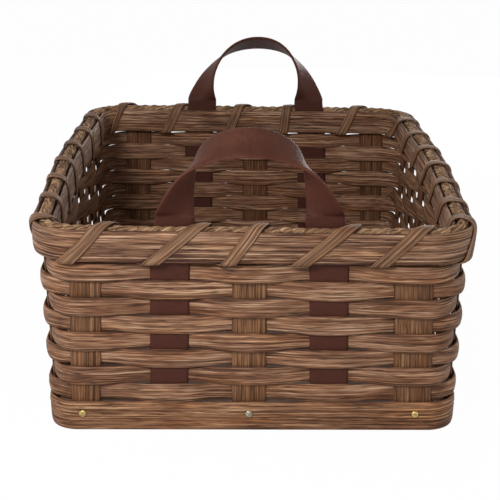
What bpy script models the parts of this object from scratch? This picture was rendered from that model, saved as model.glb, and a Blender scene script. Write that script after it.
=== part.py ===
"""Bread roll basket: a woven reed wall on a wooden base, clamped at the rim by two bands that a
reed strip lashes together over a seagrass rope, with a leather strap handle at each end.

Metres, +Z up. The origin is on the table under the middle of the basket. X runs across the
basket and Y along it, and the end that faces -Y is the front.
"""

import math

import bmesh
import bpy
from mathutils import Matrix, Vector

# Overall driving sizes
RIM_LENGTH = 0.308
RIM_WIDTH = 0.232
RIM_HEIGHT = 0.1121
RIM_DROP = 0.002
FOOT_LENGTH = 0.302
FOOT_WIDTH = 0.2162
RIM_CORNER_RADIUS = 0.0283
FOOT_CORNER_RADIUS = 0.0156
SIDE_BOW = 0.0036
GAP = 0.0003

# Base board
BOARD_THICKNESS = 0.015

# Bottom band and its nails
BOTTOM_BAND_HEIGHT = 0.017
BOTTOM_BAND_THICKNESS = 0.002
BOTTOM_BAND_CHAMFER = 0.00055
NAIL_HEIGHT = 0.0103
NAIL_HEAD_RADIUS = 0.0018
NAIL_HEAD_RISE = 0.0009
NAIL_SHANK_RADIUS = 0.0008
NAIL_LENGTH = 0.012
NAIL_SIDES = 8
NAIL_DOME_SHARES = ((0, 1), (0.5, 0.866), (1, 0.423))
CUT_OVERRUN = 0.001

# Stakes
STAKE_WIDTH = 0.0174
WIDE_STAKE = "stake_front_3"
WIDE_STAKE_WIDTH = 0.0206
STAKE_THICKNESS = 0.0015
STAKE_LIFT = 0.0005
END_STAKE_INSET = 0.0042
SIDE_STAKE_INSET = 0.0037
FRONT_STAKES_SHIFT = -0.002
REAR_STAKES_SHIFT = -0.0035
SIDE_STAKES = 7

# Leather straps
STRAP_WIDTH = 0.0201
STRAP_THICKNESS = 0.002
STRAP_INSET = 0.0015
STRAP_RIM_LEAN = 0.0021
STRAP_RIM_STEPS = 8
STRAP_NOSE_SHARE = 1 / 3

# Weavers
ROWS = 8
WEAVER_THICKNESS = 0.0013
WEAVER_CROWN = 0.0003
HIDDEN_WEAVER_HEIGHT = 0.009

# Rim bands, rope and lashing
BAND_HEIGHT = 0.0169
BAND_THICKNESS = 0.0025
BAND_CHAMFER = 0.0009
ROPE_HEIGHT = 0.0062
ROPE_RISE = 0.0008
ROPE_SIDES = 8
LASH_WIDTH = 0.0065
LASH_THICKNESS = 0.00095
LASH_CLEARANCE = 0.00045
LASH_EDGE = 0.0008
LASH_TURN_RADIUS = 0.0012
LASH_TOP_LEANS = (0.011, 0.012, 0.011, 0.015)
LASH_FACE_RUN = 0.006
LASH_CREST_SHARE = 1 / 3

# How far some turns of the lashing are set back along the wall, under the bands and on top
LASH_PASS_BACKS = {
    "stake_front_2": 0.0024,
    "front_strap_leg_right": 0.0052,
    "stake_front_3": 0.0083,
    "stake_right_1": -0.006,
}
LASH_TOP_BACKS = {
    "stake_front_2": 0.005,
    "stake_front_3": 0.004,
    "stake_right_1": -0.005,
}

# Handle loops
LOOP_STRAIGHT = 0.003
LOOP_RISE = 0.0441
LOOP_LEAN = 0.0132
FRONT_LOOP_SHIFT = -0.0012
REAR_LOOP_SHIFT = -0.0019
FRONT_LOOP_TILT = math.radians(36)
REAR_LOOP_TILT = math.radians(32)
# The line of half a loop from leg to top: shares of the legs' place, the lean, the rise and a half turn
FRONT_LOOP_SHARES = (
    (1, 0, 0, 0),
    (1, 0.11, 0.03, 0.17),
    (0.855, 0.35, 0.59, 0.323),
    (0.46, 0.35, 0.908, 0.44),
    (0, 1, 1, 0.5),
)
REAR_LOOP_SHARES = (
    (1, 0, 0, 0),
    (1, 0.05, 0.053, 0.17),
    (0.96, 0.33, 0.382, 0.33),
    (0.54, 0.6, 0.888, 0.4),
    (0, 0.93, 0.97, 0.5),
)
LOOP_STATIONS = 40
LOOP_END_SHARE = 1 - 1e-9

# Layers, as distances outward from the middle of the stakes
THICKEST_STAKE = max(STAKE_THICKNESS, STRAP_THICKNESS)
INNER_CLEAR = THICKEST_STAKE / 2 + GAP
WEAVE_FACE = INNER_CLEAR + WEAVER_THICKNESS + WEAVER_CROWN
OUTER_BAND_FACE = WEAVE_FACE + GAP
OUTER_FACE = OUTER_BAND_FACE + BAND_THICKNESS
STRAP_RIM_SHIFT = WEAVE_FACE
INNER_BAND_FACE = -(STRAP_RIM_SHIFT + STRAP_THICKNESS / 2 + GAP)
INNER_FACE = INNER_BAND_FACE - BAND_THICKNESS
FOOT_FACE = INNER_CLEAR + BOTTOM_BAND_THICKNESS

# Plan of the stakes' middle surface, at the table and at the rim
RIM_HALF_X = RIM_WIDTH / 2 - OUTER_FACE
RIM_HALF_Y = RIM_LENGTH / 2 - OUTER_FACE
FOOT_HALF_X = FOOT_WIDTH / 2 - FOOT_FACE
FOOT_HALF_Y = FOOT_LENGTH / 2 - FOOT_FACE
BEND_RADIUS = RIM_CORNER_RADIUS - OUTER_FACE
FOOT_BEND_RADIUS = FOOT_CORNER_RADIUS - FOOT_FACE
STRAIGHT_X = RIM_HALF_X - BEND_RADIUS
STRAIGHT_Y = RIM_HALF_Y - BEND_RADIUS
BEND_RUN = BEND_RADIUS * math.pi / 2
END_STAKE_PLACE = STRAIGHT_X - END_STAKE_INSET
SIDE_STAKE_PITCH = 2 * (STRAIGHT_Y - SIDE_STAKE_INSET) / (SIDE_STAKES - 1)
STRAP_PLACE = END_STAKE_PLACE / 2 - STRAP_INSET
STRAP_PLACE_AT_RIM = STRAP_PLACE - STRAP_RIM_LEAN

# Heights
BAND_BOTTOM = RIM_HEIGHT - BAND_HEIGHT
LASH_PASS_TOP = BAND_BOTTOM - GAP
LASH_PASS_BOTTOM = LASH_PASS_TOP - LASH_THICKNESS
WEAVE_BOTTOM = BOTTOM_BAND_HEIGHT + GAP
WEAVE_TOP = LASH_PASS_BOTTOM - GAP
ROPE_TOP = RIM_HEIGHT + ROPE_RISE
ROPE_CENTRE = ROPE_TOP - ROPE_HEIGHT / 2
STAKE_TOP = ROPE_TOP - ROPE_HEIGHT - GAP
LASH_TOP = ROPE_TOP + LASH_CLEARANCE + LASH_THICKNESS
LASH_TOP_AT_STRAPS = LASH_TOP - RIM_DROP / 4
HINGE_HEIGHT = LASH_TOP_AT_STRAPS + GAP + STRAP_THICKNESS / 2

# Segments of the smooth rings
CORNER_STEPS = 6
SIDE_STEPS = 6
END_STEPS = 16
BEND_STEPS_BETWEEN_STAKES = 4

# The lashing's stations from one pass under the bands to the next: how the strip's thickness lies,
# outward and up, and how much of its rise to the crest or of its fall to the next pass is done
LASH_LIE_SHARES = (
    (0, -1),
    (1, -1),
    (1, 0),
    (1, 0),
    (1, 0),
    (1, 0.3),
    (0.6, 1),
    (0.2, 1),
    (-0.2, 1),
    (-0.6, 1),
    (-1, 0.3),
    (-1, 0),
    (-1, -1),
)
LASH_TURN_SHARES = (
    ("pass", 0),
    ("rise", 0),
    ("rise", 0.19),
    ("rise", 0.38),
    ("rise", 0.57),
    ("rise", 0.75),
    ("rise", 0.87),
    ("rise", 1),
    ("fall", 0),
    ("fall", 0.1),
    ("fall", 0.2),
    ("fall", 0.6),
    ("fall", 1),
)

SIDE_HALVES = (STRAIGHT_X, STRAIGHT_Y, STRAIGHT_X, STRAIGHT_Y)
FRONT, RIGHT, REAR, LEFT = range(len(SIDE_HALVES))
SIDE_NAMES = ("front", "right", "rear", "left")
END_SHIFTS = {FRONT: FRONT_STAKES_SHIFT, REAR: REAR_STAKES_SHIFT}


def middle_runs():
    """The run along the wall from the middle of the front to the middle of each side."""
    runs = [0]
    for side in (FRONT, RIGHT, REAR):
        runs.append(runs[-1] + SIDE_HALVES[side] + BEND_RUN + SIDE_HALVES[side + 1])
    return runs


SIDE_RUNS = middle_runs()
WALL_RUN = SIDE_RUNS[LEFT] + STRAIGHT_Y + BEND_RUN + STRAIGHT_X


def clear_scene():
    for old in list(bpy.data.objects):
        bpy.data.objects.remove(old, do_unlink=True)


def finish_of(name, colour, roughness, metallic=0.0):
    """A Principled material; colour is linear red, green and blue."""
    material = bpy.data.materials.new(name)
    material.use_nodes = True
    shader = material.node_tree.nodes["Principled BSDF"]
    shader.inputs["Base Color"].default_value = (*colour, 1.0)
    shader.inputs["Roughness"].default_value = roughness
    shader.inputs["Metallic"].default_value = metallic
    material.diffuse_color = (*colour, 1.0)
    return material


def add_object(name, mesh_data, material, location=(0, 0, 0)):
    """Makes an object of a bmesh, with its faces turned outward."""
    bmesh.ops.recalc_face_normals(mesh_data, faces=mesh_data.faces)
    mesh = bpy.data.meshes.new(name)
    mesh_data.to_mesh(mesh)
    mesh_data.free()
    mesh.shade_smooth()
    mesh.set_sharp_from_angle(angle=math.radians(35))
    mesh.materials.append(material)
    solid = bpy.data.objects.new(name, mesh)
    solid.location = location
    bpy.context.scene.collection.objects.link(solid)
    return solid


def sweep(sections, closed):
    """A bmesh that joins equal rings of points, and closes on itself or has a cap at each end."""
    mesh = bmesh.new()
    rings = [[mesh.verts.new(point) for point in section] for section in sections]
    count = len(rings[0])
    pairs = list(zip(rings, rings[1:]))
    if closed:
        pairs.append((rings[-1], rings[0]))
    else:
        mesh.faces.new(rings[0])
        mesh.faces.new(rings[-1])
    for first, second in pairs:
        for corner in range(count):
            after = (corner + 1) % count
            mesh.faces.new((first[corner], first[after], second[after], second[corner]))
    return mesh


def between(low, high, share):
    return low + (high - low) * share


def eased(share):
    """The same share with a slow start and a slow end."""
    return share * share * (3 - 2 * share)


def limited(share):
    return min(max(share, 0), 1)


def side_of(run):
    """The side whose middle is nearest along the wall, and how far the run is past that middle."""
    run = run % WALL_RUN
    for side, middle in enumerate(SIDE_RUNS):
        if run < middle + SIDE_HALVES[side] + BEND_RUN:
            return side, run - middle
    return FRONT, run - WALL_RUN


def in_bend(run):
    side, past = side_of(run)
    return past > SIDE_HALVES[side]


def wall_point(run, height, outward):
    """A point at a run along the wall, a height and a distance outward from the stakes' middle. The
    rim is a little lower at the right, as the weaver pulled it, and the corners tighten downward."""
    side, past = side_of(run)
    rise = height / RIM_HEIGHT
    radius = between(FOOT_BEND_RADIUS, BEND_RADIUS, rise)
    straight_x = between(FOOT_HALF_X, RIM_HALF_X, rise) - radius
    straight_y = between(FOOT_HALF_Y, RIM_HALF_Y, rise) - radius
    straight, ahead = (straight_x, straight_y) if side in (FRONT, REAR) else (straight_y, straight_x)
    turn = side * math.pi / 2
    along = Vector((math.cos(turn), math.sin(turn), 0))
    away = Vector((math.sin(turn), -math.cos(turn), 0))
    if past <= SIDE_HALVES[side]:
        share = past / SIDE_HALVES[side]
        bow = 0
        if side in (RIGHT, LEFT):
            bow = SIDE_BOW * rise * (1 + math.cos(math.pi * share)) / 2
        point = along * straight * share + away * (ahead + radius + bow + outward)
    else:
        angle = (past - SIDE_HALVES[side]) / BEND_RUN * math.pi / 2
        arm = away * math.cos(angle) + along * math.sin(angle)
        point = along * straight + away * ahead + arm * (radius + outward)
    point.z = height - RIM_DROP * rise * (point.x / RIM_WIDTH + 1 / 2)
    return point


def plumb_point(run, height, outward):
    """The same point of the wall, but at its full height wherever it is along the rim."""
    point = wall_point(run, height, outward)
    point.z = height
    return point


def stretch(run, outward):
    """How much longer a step along the wall is at this distance outward, which only bends change."""
    side, past = side_of(run)
    return 1 if past <= SIDE_HALVES[side] else 1 + outward / BEND_RADIUS


def stakes_in_order():
    """Each stake round the wall, as its node's name, run, width, thickness and kind."""
    ends = (-END_STAKE_PLACE, -STRAP_PLACE, 0, STRAP_PLACE, END_STAKE_PLACE)
    places = [(n - (SIDE_STAKES - 1) / 2) * SIDE_STAKE_PITCH for n in range(SIDE_STAKES)]
    stakes = []
    for side, name in enumerate(SIDE_NAMES):
        number = 0
        for place in ends if side in (FRONT, REAR) else places:
            strap = side in (FRONT, REAR) and abs(place) == STRAP_PLACE
            run = SIDE_RUNS[side] + place + END_SHIFTS.get(side, 0)
            if strap:
                hand = "left" if place < 0 else "right"
                stakes.append((f"{name}_strap_leg_{hand}", run, STRAP_WIDTH, STRAP_THICKNESS, "strap"))
            else:
                number += 1
                node = f"stake_{name}_{number}"
                width = WIDE_STAKE_WIDTH if node == WIDE_STAKE else STAKE_WIDTH
                stakes.append((node, run, width, STAKE_THICKNESS, "reed"))
    return stakes


def smooth_runs():
    """Runs for a ring that only follows the wall: few on straight ends, more on bows and bends."""
    runs = []
    for side, middle in enumerate(SIDE_RUNS):
        straight = SIDE_HALVES[side]
        steps = 1 if side in (FRONT, REAR) else SIDE_STEPS
        runs += [middle + between(-straight, straight, n / steps) for n in range(steps)]
        runs += [middle + straight + BEND_RUN * n / CORNER_STEPS for n in range(CORNER_STEPS)]
    return runs


def band_section(run, bottom, top, inner, outer, chamfer):
    """The eight corners of a band's section, with its four edges taken off."""
    corners = (
        (inner + chamfer, bottom),
        (outer - chamfer, bottom),
        (outer, bottom + chamfer),
        (outer, top - chamfer),
        (outer - chamfer, top),
        (inner + chamfer, top),
        (inner, top - chamfer),
        (inner, bottom + chamfer),
    )
    return [wall_point(run, height, outward) for outward, height in corners]


def make_band(name, bottom, top, inner, outer, chamfer, material):
    sections = [band_section(run, bottom, top, inner, outer, chamfer) for run in smooth_runs()]
    return add_object(name, sweep(sections, closed=True), material)


def nails_in_order(stakes):
    """The nails' names and runs: one at each reed stake of the ends, every other one on the sides."""
    nails = []
    for side, name in enumerate(SIDE_NAMES):
        runs = [run for node, run, _, _, kind in stakes if kind == "reed" and f"_{name}_" in node]
        if side in (RIGHT, LEFT):
            runs = runs[::2]
        nails += [(f"nail_{name}_{number + 1}", run) for number, run in enumerate(runs)]
    return nails


def nail_turn(run):
    """Turns +Z outward, square to the bottom band's face at this run."""
    low = wall_point(run, NAIL_HEIGHT, FOOT_FACE)
    high = wall_point(run, NAIL_HEIGHT, FOOT_FACE + NAIL_LENGTH)
    return (high - low).to_track_quat("Z", "Y").to_matrix().to_4x4()


def make_nail_holes(nails):
    """One hidden cutter with a round bar for each nail's hole."""
    mesh = bmesh.new()
    radius = NAIL_SHANK_RADIUS + GAP
    depth = NAIL_LENGTH + GAP + 2 * CUT_OVERRUN
    for _, run in nails:
        middle = wall_point(run, NAIL_HEIGHT, FOOT_FACE - NAIL_LENGTH / 2)
        bmesh.ops.create_cone(
            mesh,
            cap_ends=True,
            segments=NAIL_SIDES,
            radius1=radius,
            radius2=radius,
            depth=depth,
            matrix=Matrix.Translation(middle) @ nail_turn(run),
        )
    cutter = add_object("nail_holes", mesh, finish_of("cutter", (0.5, 0.5, 0.5), 1.0))
    cutter.hide_render = True
    cutter.display_type = "WIRE"
    return cutter


def bore(solid, cutter):
    cut = solid.modifiers.new("nail_holes", "BOOLEAN")
    cut.operation = "DIFFERENCE"
    cut.solver = "EXACT"
    cut.object = cutter


def make_nail(name, run, material):
    """A round-headed nail: its shank is in the board, and its head is just proud of the band."""
    rings = [(-NAIL_LENGTH, NAIL_SHANK_RADIUS), (GAP, NAIL_SHANK_RADIUS)]
    for up, wide in NAIL_DOME_SHARES:
        rings.append((GAP + NAIL_HEAD_RISE * up, NAIL_HEAD_RADIUS * wide))
    turns = [2 * math.pi * n / NAIL_SIDES for n in range(NAIL_SIDES)]
    sections = [
        [Vector((radius * math.cos(turn), radius * math.sin(turn), level)) for turn in turns]
        for level, radius in rings
    ]
    nail = add_object(name, sweep(sections, closed=False), material)
    nail.matrix_world = Matrix.Translation(wall_point(run, NAIL_HEIGHT, FOOT_FACE)) @ nail_turn(run)
    return nail


def make_board(cutter, material):
    """The base board fits inside the stakes and stands on the table."""
    edge = -INNER_CLEAR
    sections = [[wall_point(run, height, edge) for run in smooth_runs()] for height in (0, BOARD_THICKNESS)]
    board = add_object("base_board", sweep(sections, closed=False), material)
    bore(board, cutter)
    return board


def make_reed_stake(name, run, width, thickness, material):
    """A flat reed that follows the wall from the base board to just under the rope."""
    sections = []
    for height in (STAKE_LIFT, STAKE_TOP):
        inner = [wall_point(run + side * width / 2, height, -thickness / 2) for side in (-1, 0, 1)]
        outer = [wall_point(run + side * width / 2, height, thickness / 2) for side in (1, 0, -1)]
        sections.append(inner + outer)
    return add_object(name, sweep(sections, closed=False), material)


def strap_place(run, height):
    """The strap's run and its distance outward: above the weave it leans and shifts inward."""
    side, past = side_of(run)
    shift = limited((height - WEAVE_TOP) / (STAKE_TOP - WEAVE_TOP))
    lean = limited((height - WEAVE_TOP) / (HINGE_HEIGHT - WEAVE_TOP))
    place = math.copysign(between(STRAP_PLACE, STRAP_PLACE_AT_RIM, lean), past - END_SHIFTS[side])
    return SIDE_RUNS[side] + END_SHIFTS[side] + place, -STRAP_RIM_SHIFT * eased(shift)


def make_strap_leg(name, run, material):
    """The part of a leather strap that is held in the wall, up to its bend at the rim."""
    top = HINGE_HEIGHT - STRAP_THICKNESS / 2 - GAP
    heights = [STAKE_LIFT]
    heights += [between(WEAVE_TOP, top, n / STRAP_RIM_STEPS) for n in range(STRAP_RIM_STEPS + 1)]
    sections = []
    for height in heights:
        middle, outward = strap_place(run, height)
        inner = outward - STRAP_THICKNESS / 2
        outer = outward + STRAP_THICKNESS / 2
        low = middle - STRAP_WIDTH / 2
        high = middle + STRAP_WIDTH / 2
        corners = ((low, inner), (high, inner), (high, outer), (low, outer))
        sections.append([plumb_point(at, height, away) for at, away in corners])
    return add_object(name, sweep(sections, closed=False), material)


def make_weaver(name, stakes, bottom, top, first_side, material):
    """A flat reed round the basket that passes the stakes outside and inside by turns."""
    stations = []
    for number, (_, run, width, thickness, _) in enumerate(stakes):
        passing = first_side if number % 2 == 0 else -first_side
        offset = thickness / 2 + GAP + WEAVER_THICKNESS / 2
        stations.append((run - width / 2, passing * offset))
        stations.append((run, passing * (offset + WEAVER_CROWN)))
        stations.append((run + width / 2, passing * offset))
        _, next_run, next_width, next_thickness, _ = stakes[(number + 1) % len(stakes)]
        start = run + width / 2
        end = next_run - next_width / 2
        if end < start:
            end += WALL_RUN
        next_offset = -passing * (next_thickness / 2 + GAP + WEAVER_THICKNESS / 2)
        steps = BEND_STEPS_BETWEEN_STAKES
        shares = [step / steps for step in range(1, steps)]
        if any(in_bend(between(start, end, share)) for share in shares):
            for share in shares:
                stations.append((between(start, end, share), between(passing * offset, next_offset, share)))
    sections = []
    for run, offset in stations:
        inner = offset - WEAVER_THICKNESS / 2
        outer = offset + WEAVER_THICKNESS / 2
        corners = ((inner, bottom), (outer, bottom), (outer, top), (inner, top))
        sections.append([wall_point(run, height, outward) for outward, height in corners])
    return add_object(name, sweep(sections, closed=True), material)


def rope_fit(run):
    """The rope's distance outward and its half width, which the straps squeeze where they pass."""
    side, past = side_of(run)
    free_inner = INNER_BAND_FACE + GAP
    outer = OUTER_BAND_FACE - GAP
    squeezed_inner = -STRAP_RIM_SHIFT + STRAP_THICKNESS / 2 + GAP
    share = 0
    if side in (FRONT, REAR):
        from_strap = abs(abs(past - END_SHIFTS[side]) - STRAP_PLACE_AT_RIM) - STRAP_WIDTH / 2
        share = 1 - limited((from_strap - STRAP_THICKNESS) / STRAP_WIDTH)
    inner = between(free_inner, squeezed_inner, share)
    return (inner + outer) / 2, (outer - inner) / 2


def make_rope(material):
    """The seagrass rope that fills the rim between the bands."""
    runs = []
    for side, middle in enumerate(SIDE_RUNS):
        straight = SIDE_HALVES[side]
        steps = END_STEPS if side in (FRONT, REAR) else SIDE_STEPS
        runs += [middle + between(-straight, straight, n / steps) for n in range(steps)]
        runs += [middle + straight + BEND_RUN * n / CORNER_STEPS for n in range(CORNER_STEPS)]
    turns = [2 * math.pi * (n + 0.5) / ROPE_SIDES for n in range(ROPE_SIDES)]
    sections = []
    for run in runs:
        outward, half_width = rope_fit(run)
        sections.append(
            [
                wall_point(
                    run,
                    ROPE_CENTRE + ROPE_HEIGHT / 2 * math.sin(turn),
                    outward + half_width * math.cos(turn),
                )
                for turn in turns
            ]
        )
    return add_object("seagrass_filler", sweep(sections, closed=True), material)


def lash_outline():
    """The lashing's inner line round the rim's section, from under the bands outward, up, over and
    down, as distances outward and heights."""
    outer = OUTER_FACE + LASH_CLEARANCE
    inner = INNER_FACE - LASH_CLEARANCE
    crest = ROPE_TOP + LASH_CLEARANCE
    crest_half = ROPE_HEIGHT * LASH_CREST_SHARE
    shoulder = RIM_HEIGHT + LASH_CLEARANCE
    head = RIM_HEIGHT - LASH_TURN_RADIUS
    return (
        (0, LASH_PASS_TOP),
        (outer, LASH_PASS_TOP),
        (outer, between(LASH_PASS_TOP, head, 1 / 4)),
        (outer, between(LASH_PASS_TOP, head, 1 / 2)),
        (outer, between(LASH_PASS_TOP, head, 3 / 4)),
        (outer, head),
        (outer - LASH_TURN_RADIUS, shoulder),
        (crest_half, crest),
        (-crest_half, crest),
        (inner + LASH_TURN_RADIUS, shoulder),
        (inner, head),
        (inner, between(LASH_PASS_TOP, head, 1 / 2)),
        (inner, LASH_PASS_TOP),
    )


def lash_runs(stakes, number):
    """Where one turn of the lashing passes the wall, tops the rim and reaches the next pass."""
    half = LASH_WIDTH * math.sqrt(2) / 2

    def pass_before(index):
        name, run, width, _, _ = stakes[index % len(stakes)]
        back = LASH_PASS_BACKS.get(name, 0)
        if "stake_right" in name:
            _, before, width_before, _, _ = stakes[index - 1]
            return before + width_before / 2 + LASH_EDGE + half - back
        return run - width / 2 - LASH_EDGE - half - back

    name, run, width, _, kind = stakes[number]
    start = pass_before(number)
    end = pass_before(number + 1)
    if end < start:
        end += WALL_RUN
    lean = LASH_TOP_LEANS[side_of(run)[0]]
    top = run + lean
    if "stake_right" in name:
        top = start + lean
    if kind == "strap":
        rim_run = strap_place(run, RIM_HEIGHT)[0]
        top = rim_run + width / 2 + LASH_EDGE + half
    return start, top - LASH_TOP_BACKS.get(name, 0), end


def make_lashing(stakes, material):
    """One flat strip wound right round the basket, a turn for each stake."""
    half = LASH_WIDTH * math.sqrt(2) / 2
    sections = []
    turns = []
    for number in range(len(stakes)):
        start, top, end = lash_runs(stakes, number)
        stages = {
            "pass": (start, start),
            "rise": (start + LASH_FACE_RUN, top),
            "fall": (top, end - LASH_FACE_RUN),
        }
        for place, lie, turn in zip(lash_outline(), LASH_LIE_SHARES, LASH_TURN_SHARES):
            outward, height = place
            away, up = lie
            stage, done = turn
            run = between(*stages[stage], done)
            thick_out = outward + away * LASH_THICKNESS
            thick_up = height + up * LASH_THICKNESS
            low = run - half / stretch(run, outward)
            high = run + half / stretch(run, outward)
            under = [(at, outward, height) for at in (low, run, high)]
            over = [(at, thick_out, thick_up) for at in (high, run, low)]
            corners = under + over
            sections.append([wall_point(at, level, away_by) for at, away_by, level in corners])
            turns.append(number)
    print_least_gap(sections, turns)
    return add_object("rim_lashing", sweep(sections, closed=False), material)


def print_least_gap(sections, turns):
    """Measures the lashing's least distance to itself between turns that don't follow each other."""
    least = min(
        (one - other).length
        for first, section in enumerate(sections)
        for second in range(first + 1, len(sections))
        if turns[second] - turns[first] > 1
        for one in section
        for other in sections[second]
    )
    print(f"rim_lashing: least gap between turns {least * 1000:.1f} mm")


def control_shares(count, share):
    """How much each control of a smooth cubic line has in its place, at a share of the line."""
    spans = count - 3
    place = min(share, LOOP_END_SHARE) * spans
    knots = [0, 0, 0, *range(spans + 1), spans, spans, spans]
    shares = [1 if low <= place < high else 0 for low, high in zip(knots, knots[1:])]
    for degree in (1, 2, 3):
        rising = [
            (place - knots[n]) / (knots[n + degree] - knots[n]) if knots[n + degree] > knots[n] else 0
            for n in range(len(knots) - degree)
        ]
        shares = [
            shares[n] * rising[n] + shares[n + 1] * (1 - rising[n + 1])
            for n in range(len(knots) - degree - 1)
        ]
    return shares


def loop_line(side, share):
    """The middle of the handle's strap and the direction across it, from the hinge's middle; share
    runs from 0 at the left leg to 1 at the right leg, and the loop leans towards -Y."""
    front = side == FRONT
    half = FRONT_LOOP_SHARES if front else REAR_LOOP_SHARES
    shift = FRONT_LOOP_SHIFT if front else REAR_LOOP_SHIFT
    tilt = FRONT_LOOP_TILT if front else REAR_LOOP_TILT
    far = [(-spread, lean, rise, 1 - turn) for spread, lean, rise, turn in half[-2::-1]]
    weights = control_shares(2 * len(half) - 1, share)
    spread, lean, rise, turn = (
        sum(weight * control[axis] for weight, control in zip(weights, [*half, *far])) for axis in range(4)
    )
    middle = Vector(
        (
            -STRAP_PLACE_AT_RIM * spread + shift * eased(1 - abs(2 * share - 1)),
            -LOOP_LEAN * lean,
            between(LOOP_STRAIGHT, LOOP_RISE, rise),
        )
    )
    twist = turn * math.pi
    across = Vector((math.cos(twist), math.sin(twist) * math.cos(tilt), math.sin(twist) * math.sin(tilt)))
    return middle, across


def loop_section(side, share, thickness):
    """The four corners of the strap's section, square to the way it runs and level at its ends."""
    step = 0.5 / LOOP_STATIONS
    middle, across = loop_line(side, share)
    before = loop_line(side, max(share - step, 0))[0]
    after = loop_line(side, min(share + step, 1))[0]
    onward = (after - before).normalized()
    if share in (0, 1):
        onward = Vector((0, 0, 1 - 2 * share))
    across = (across - onward * across.dot(onward)).normalized()
    normal = onward.cross(across)
    half = STRAP_WIDTH / 2
    return [
        middle + across * half * edge + normal * thickness / 2 * face
        for edge, face in ((-1, -1), (1, -1), (1, 1), (-1, 1))
    ]


def make_loop(name, side, material):
    """The free part of a strap, with its origin on the line where the leather bends."""
    sections = [loop_section(side, n / LOOP_STATIONS, STRAP_THICKNESS) for n in range(LOOP_STATIONS + 1)]
    to_hinge = Vector((0, 0, -LOOP_STRAIGHT))
    to_nose = to_hinge + Vector((0, 0, -STRAP_THICKNESS / 2))
    for end, share in ((0, 0), (len(sections) + 2, 1)):
        level = [point + to_hinge for point in loop_section(side, share, STRAP_THICKNESS)]
        nose = [point + to_nose for point in loop_section(side, share, STRAP_THICKNESS * STRAP_NOSE_SHARE)]
        pair = [nose, level] if share == 0 else [level, nose]
        sections[end:end] = pair
    middle = SIDE_RUNS[side] + END_SHIFTS[side]
    hinge = plumb_point(middle, HINGE_HEIGHT, strap_place(middle, HINGE_HEIGHT)[1])
    if side == REAR:
        half_turn = Matrix.Rotation(math.pi, 4, "Z")
        sections = [[half_turn @ point for point in section] for section in sections]
    print(f"{name}: bends at {hinge.x:.6f}, {hinge.y:.6f}, {hinge.z:.6f} m")
    return add_object(name, sweep(sections, closed=False), material, hinge)


def main():
    clear_scene()
    reed = finish_of("stained_reed", (0.16, 0.082, 0.047), 0.62)
    dark_reed = finish_of("stained_stake", (0.12, 0.06, 0.035), 0.65)
    band = finish_of("rim_reed", (0.19, 0.1, 0.058), 0.58)
    lash = finish_of("lashing_reed", (0.27, 0.15, 0.085), 0.55)
    seagrass = finish_of("seagrass", (0.2, 0.16, 0.1), 0.8)
    leather = finish_of("strap_leather", (0.085, 0.035, 0.02), 0.48)
    wood = finish_of("stained_board", (0.11, 0.055, 0.032), 0.6)
    brass = finish_of("nail_brass", (0.62, 0.45, 0.2), 0.35, metallic=1.0)

    stakes = stakes_in_order()
    nails = nails_in_order(stakes)
    cutter = make_nail_holes(nails)
    nailed_runs = [run for _, run in nails]

    make_board(cutter, wood)
    for name, run, width, thickness, kind in stakes:
        if kind == "strap":
            make_strap_leg(name, run, leather)
            continue
        stake = make_reed_stake(name, run, width, thickness, dark_reed)
        if run in nailed_runs:
            bore(stake, cutter)

    pitch = (WEAVE_TOP - WEAVE_BOTTOM + GAP) / ROWS
    for row in range(ROWS):
        top = WEAVE_TOP - row * pitch
        first_side = 1 if row % 2 == 0 else -1
        make_weaver(f"weaver_row_{row + 1}", stakes, top - pitch + GAP, top, first_side, reed)
    hidden_bottom = BAND_BOTTOM + GAP
    make_weaver("rim_weaver", stakes, hidden_bottom, hidden_bottom + HIDDEN_WEAVER_HEIGHT, -1, reed)

    make_band("outer_rim_band", BAND_BOTTOM, RIM_HEIGHT, OUTER_BAND_FACE, OUTER_FACE, BAND_CHAMFER, band)
    make_band("inner_rim_band", BAND_BOTTOM, RIM_HEIGHT, INNER_FACE, INNER_BAND_FACE, BAND_CHAMFER, band)
    bottom_band = make_band(
        "bottom_band", STAKE_LIFT, BOTTOM_BAND_HEIGHT, INNER_CLEAR, FOOT_FACE, BOTTOM_BAND_CHAMFER, band
    )
    bore(bottom_band, cutter)
    for name, run in nails:
        make_nail(name, run, brass)

    make_rope(seagrass)
    make_lashing(stakes, lash)
    make_loop("front_handle_loop", FRONT, leather)
    make_loop("rear_handle_loop", REAR, leather)


main()
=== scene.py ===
"""The bread roll basket's looks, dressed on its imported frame.

Metres, +Z up, in the frame of the CAD: the front of the basket faces -Y. A run is a distance along
the wall from the middle of the front, and a distance outward is taken from the stakes' middle.
"""

import math

import bpy
import numpy as np
from mathutils import Matrix, Vector


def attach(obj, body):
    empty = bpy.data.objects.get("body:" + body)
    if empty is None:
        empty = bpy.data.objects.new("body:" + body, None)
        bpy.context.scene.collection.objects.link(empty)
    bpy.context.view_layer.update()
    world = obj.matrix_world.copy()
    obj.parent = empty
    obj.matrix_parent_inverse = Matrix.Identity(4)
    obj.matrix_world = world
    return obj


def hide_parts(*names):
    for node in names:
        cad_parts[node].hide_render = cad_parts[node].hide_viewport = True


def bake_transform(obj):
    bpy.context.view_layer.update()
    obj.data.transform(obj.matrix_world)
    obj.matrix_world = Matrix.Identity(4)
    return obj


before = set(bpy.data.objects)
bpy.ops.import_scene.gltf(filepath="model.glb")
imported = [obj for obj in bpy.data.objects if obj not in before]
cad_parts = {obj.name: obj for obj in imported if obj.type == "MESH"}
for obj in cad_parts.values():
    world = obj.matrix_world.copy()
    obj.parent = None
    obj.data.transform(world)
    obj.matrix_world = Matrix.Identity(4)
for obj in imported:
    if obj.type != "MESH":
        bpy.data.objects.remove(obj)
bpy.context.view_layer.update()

MM = 0.001
EPSILON = 1e-9

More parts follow.
